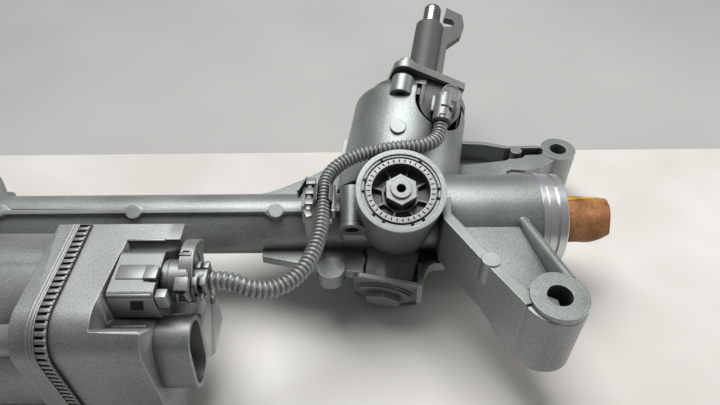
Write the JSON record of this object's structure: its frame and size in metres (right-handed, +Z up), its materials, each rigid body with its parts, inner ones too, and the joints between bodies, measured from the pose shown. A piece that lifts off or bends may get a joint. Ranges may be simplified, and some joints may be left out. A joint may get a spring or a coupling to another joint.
{
  "type": "electric steering rack",
  "caption": "Electric power steering rack with pinion input, belt-driven ball nut, parallel motor and control unit, and mounting lugs.",
  "frame": {"origin": "on the rack axis, in the right-hand boot seat of the housing", "axes": "+X along the rack out of the right-hand end, +Z up, +Y away from the motor"},
  "size_m": [0.697, 0.3645, 0.138],
  "materials": {
    "cast_housing": "dark grey metallic coated casting",
    "machined_steel": "machined steel",
    "kraft_paper": "brown waxed paper",
    "black_plastic": "moulded dark plastic",
    "grey_plastic": "grey coated plastic",
    "cap_plastic": "grey moulded cap",
    "spring_steel": "spring steel",
    "rubber": "black rubber",
    "copper": "enamelled copper",
    "board": "green solder mask",
    "coated_steel": "grey metallic coat over steel",
    "magnet": "sintered magnet",
    "laminations": "stacked electrical steel",
    "plated_pins": "plated copper contacts"
  },
  "bodies": {
    "housing": {"rack_housing": "cast_housing", "belt_case": "cast_housing", "case_screws": "coated_steel", "pinion_lower_bearing": "machined_steel", "pinion_upper_bearing": "machined_steel", "pinion_screw_plug": "coated_steel", "sensor_cover": "cast_housing", "sensor_bolts": "coated_steel", "input_seal": "rubber", "sensor_board": "board", "sensor_connector": "grey_plastic", "rack_bush": "coated_steel", "nut_bearing": "machined_steel", "bearing_ring": "machined_steel", "drive_belt": "rubber", "motor_housing": "coated_steel", "motor_bolts": "coated_steel", "motor_stator": "laminations", "stator_windings": "copper", "motor_end_shield": "cast_housing", "rotor_bearings": "machined_steel", "control_cover": "grey_plastic", "signal_socket": "grey_plastic", "signal_plug": "grey_plastic", "plug_lever": "grey_plastic", "cable_outlet": "grey_plastic", "power_socket": "grey_plastic", "power_pins": "plated_pins", "end_plate_screw": "coated_steel", "circuit_board": "board", "capacitors": "magnet", "crimp_band": "coated_steel", "locating_pin": "machined_steel", "conduit": "black_plastic", "conduit_clip": "grey_plastic", "yoke": "laminations", "yoke_liner": "black_plastic", "yoke_o_ring": "rubber", "yoke_spring": "spring_steel", "yoke_cap": "cap_plastic"},
    "rack": {"rack_bar": "machined_steel", "protective_paper": "kraft_paper"},
    "pinion": {"pinion": "machined_steel", "pinion_nut": "machined_steel", "torsion_bar": "machined_steel", "flux_ring": "magnet"},
    "input_shaft": {"input_shaft": "machined_steel", "magnet_ring": "magnet", "alignment_sleeve": "black_plastic"},
    "ball_nut": {"ball_nut": "machined_steel", "driven_pulley": "machined_steel"},
    "rotor": {"rotor_shaft": "machined_steel", "rotor_magnets": "magnet", "drive_pulley": "machined_steel"}
  },
  "joints": [
    {"name": "ball_nut_turn", "type": "hinge", "parent": "housing", "child": "ball_nut", "pos_m": [-0.48, 0, 0], "axis": [1, 0, 0], "range_deg": [-2520, 2520]},
    {"name": "rack_travel", "type": "slide", "parent": "housing", "child": "rack", "axis": [1, 0, 0], "range_m": [-0.0701, 0.0701]},
    {"name": "pinion_turn", "type": "hinge", "parent": "housing", "child": "pinion", "pos_m": [-0.111, 0.00671, -0.0158], "axis": [0.1908, 0.9036, 0.3836], "range_deg": [-438.5, 438.5]},
    {"name": "rotor_turn", "type": "hinge", "parent": "housing", "child": "rotor", "pos_m": [-0.4, -0.092, 0.0126], "axis": [1, 0, 0], "range_deg": [-6940, 6940]},
    {"name": "input_twist", "type": "hinge", "parent": "pinion", "child": "input_shaft", "pos_m": [-0.09955, 0.06092, 0.00722], "axis": [0.1908, 0.9036, 0.3836], "range_deg": [-4.5, 4.5], "stiffness_Nm_per_rad": 130}
  ],
  "couplings": [
    {"joint": "rack_travel", "follows": "ball_nut_turn", "m_per_rad": -0.0015915},
    {"joint": "pinion_turn", "follows": "ball_nut_turn", "ratio": -0.17359},
    {"joint": "rotor_turn", "follows": "ball_nut_turn", "ratio": 2.75}
  ]
}
